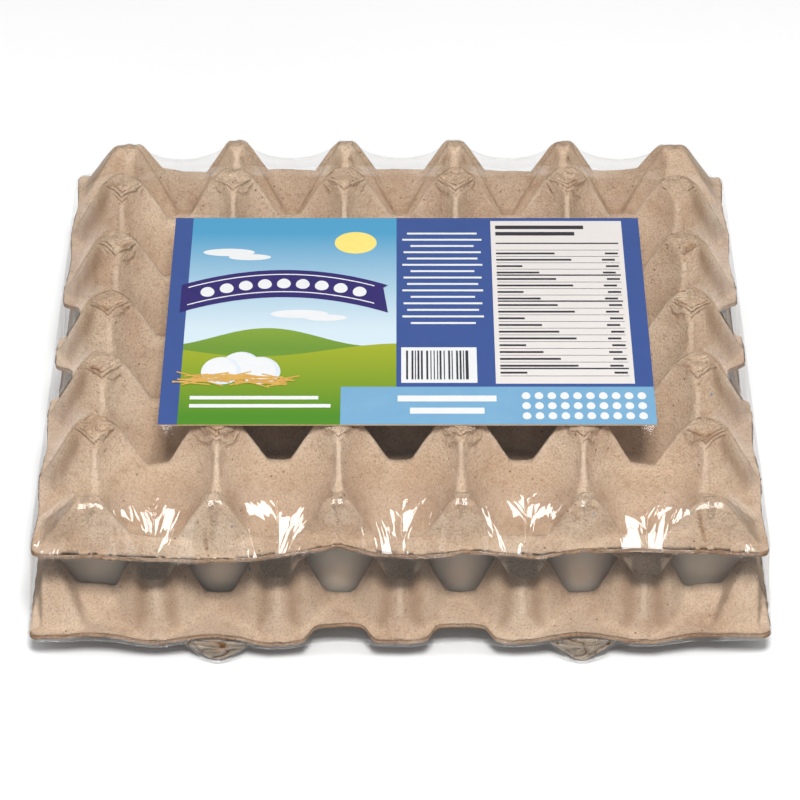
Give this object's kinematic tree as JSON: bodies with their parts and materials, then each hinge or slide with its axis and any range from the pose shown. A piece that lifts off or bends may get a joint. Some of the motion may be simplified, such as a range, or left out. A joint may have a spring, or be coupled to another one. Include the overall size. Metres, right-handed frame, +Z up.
{
  "type": "shrink-wrapped tray pack of eggs",
  "caption": "Shrink-wrapped pack of white hen's eggs in a moulded pulp tray, covered by a second empty tray turned crosswise, with a printed card on top.",
  "frame": {"origin": "middle of the pack's underside, on the surface it rests on", "axes": "+Z up through the stacked trays, front towards -Y, six cells of the lower tray along X"},
  "size_m": [0.2994, 0.2994, 0.0904],
  "materials": {
    "pulp": "rough moulded pulp, speckled tan",
    "eggshell": "smooth white eggshell, faint grain",
    "print": "printed coated paper, semi-gloss",
    "film": "clear glossy shrink film"
  },
  "bodies": {
    "root": {"lower_tray": "pulp", "upper_tray": "pulp", "egg_r1_c1": "eggshell", "egg_r1_c2": "eggshell", "egg_r1_c3": "eggshell", "egg_r1_c4": "eggshell", "egg_r1_c5": "eggshell", "egg_r1_c6": "eggshell", "egg_r2_c1": "eggshell", "egg_r2_c2": "eggshell", "egg_r2_c3": "eggshell", "egg_r2_c4": "eggshell", "egg_r2_c5": "eggshell", "egg_r2_c6": "eggshell", "egg_r3_c1": "eggshell", "egg_r3_c2": "eggshell", "egg_r3_c3": "eggshell", "egg_r3_c4": "eggshell", "egg_r3_c5": "eggshell", "egg_r3_c6": "eggshell", "egg_r4_c1": "eggshell", "egg_r4_c2": "eggshell", "egg_r4_c3": "eggshell", "egg_r4_c4": "eggshell", "egg_r4_c5": "eggshell", "egg_r4_c6": "eggshell", "egg_r5_c1": "eggshell", "egg_r5_c2": "eggshell", "egg_r5_c3": "eggshell", "egg_r5_c4": "eggshell", "egg_r5_c5": "eggshell", "egg_r5_c6": "eggshell", "card": "print", "film": "film"}
  },
  "joints": []
}
